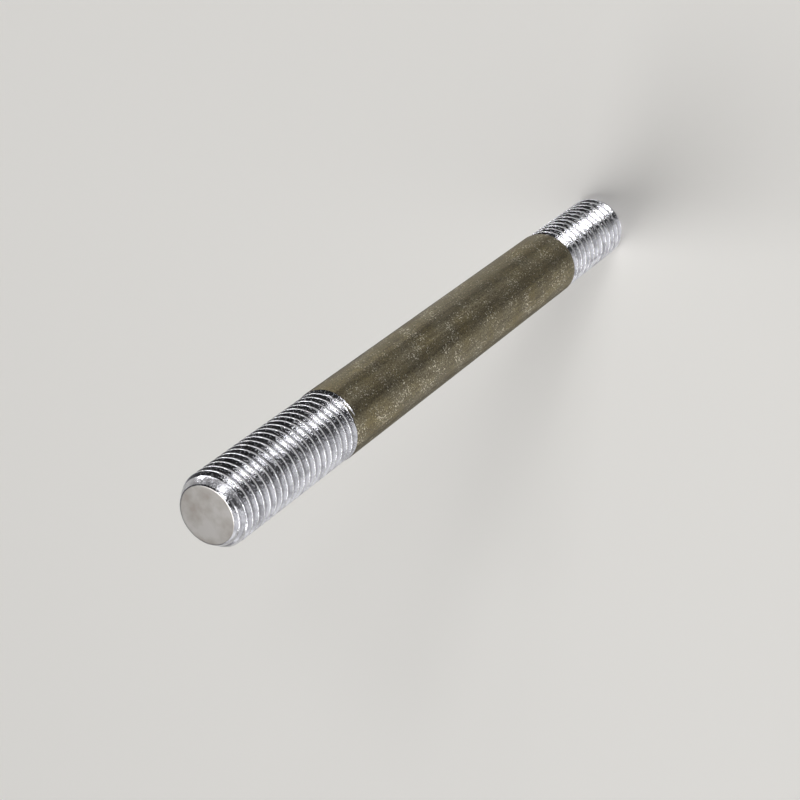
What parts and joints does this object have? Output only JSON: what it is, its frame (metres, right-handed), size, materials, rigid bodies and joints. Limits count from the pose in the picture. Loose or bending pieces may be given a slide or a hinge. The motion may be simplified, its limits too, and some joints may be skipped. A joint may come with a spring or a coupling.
{
  "type": "cylinder head stud",
  "caption": "Double-ended steel stud that clamps a cylinder head to its block: a coarse thread for the block, a plain shank and a fine thread for the nut.",
  "frame": {"origin": "middle of the block end's flat face, which the stud stands on", "axes": "+Z along the rod to the nut end; the threads are right-hand about it, and the nut thread's groove fades out at 240 degrees from +X"},
  "size_m": [0.01, 0.01, 0.11],
  "materials": {
    "plated_steel": "zinc plated, bright on the threads and dull grey-brown on the shank"
  },
  "bodies": {
    "root": {"stud": "plated_steel"}
  },
  "joints": []
}
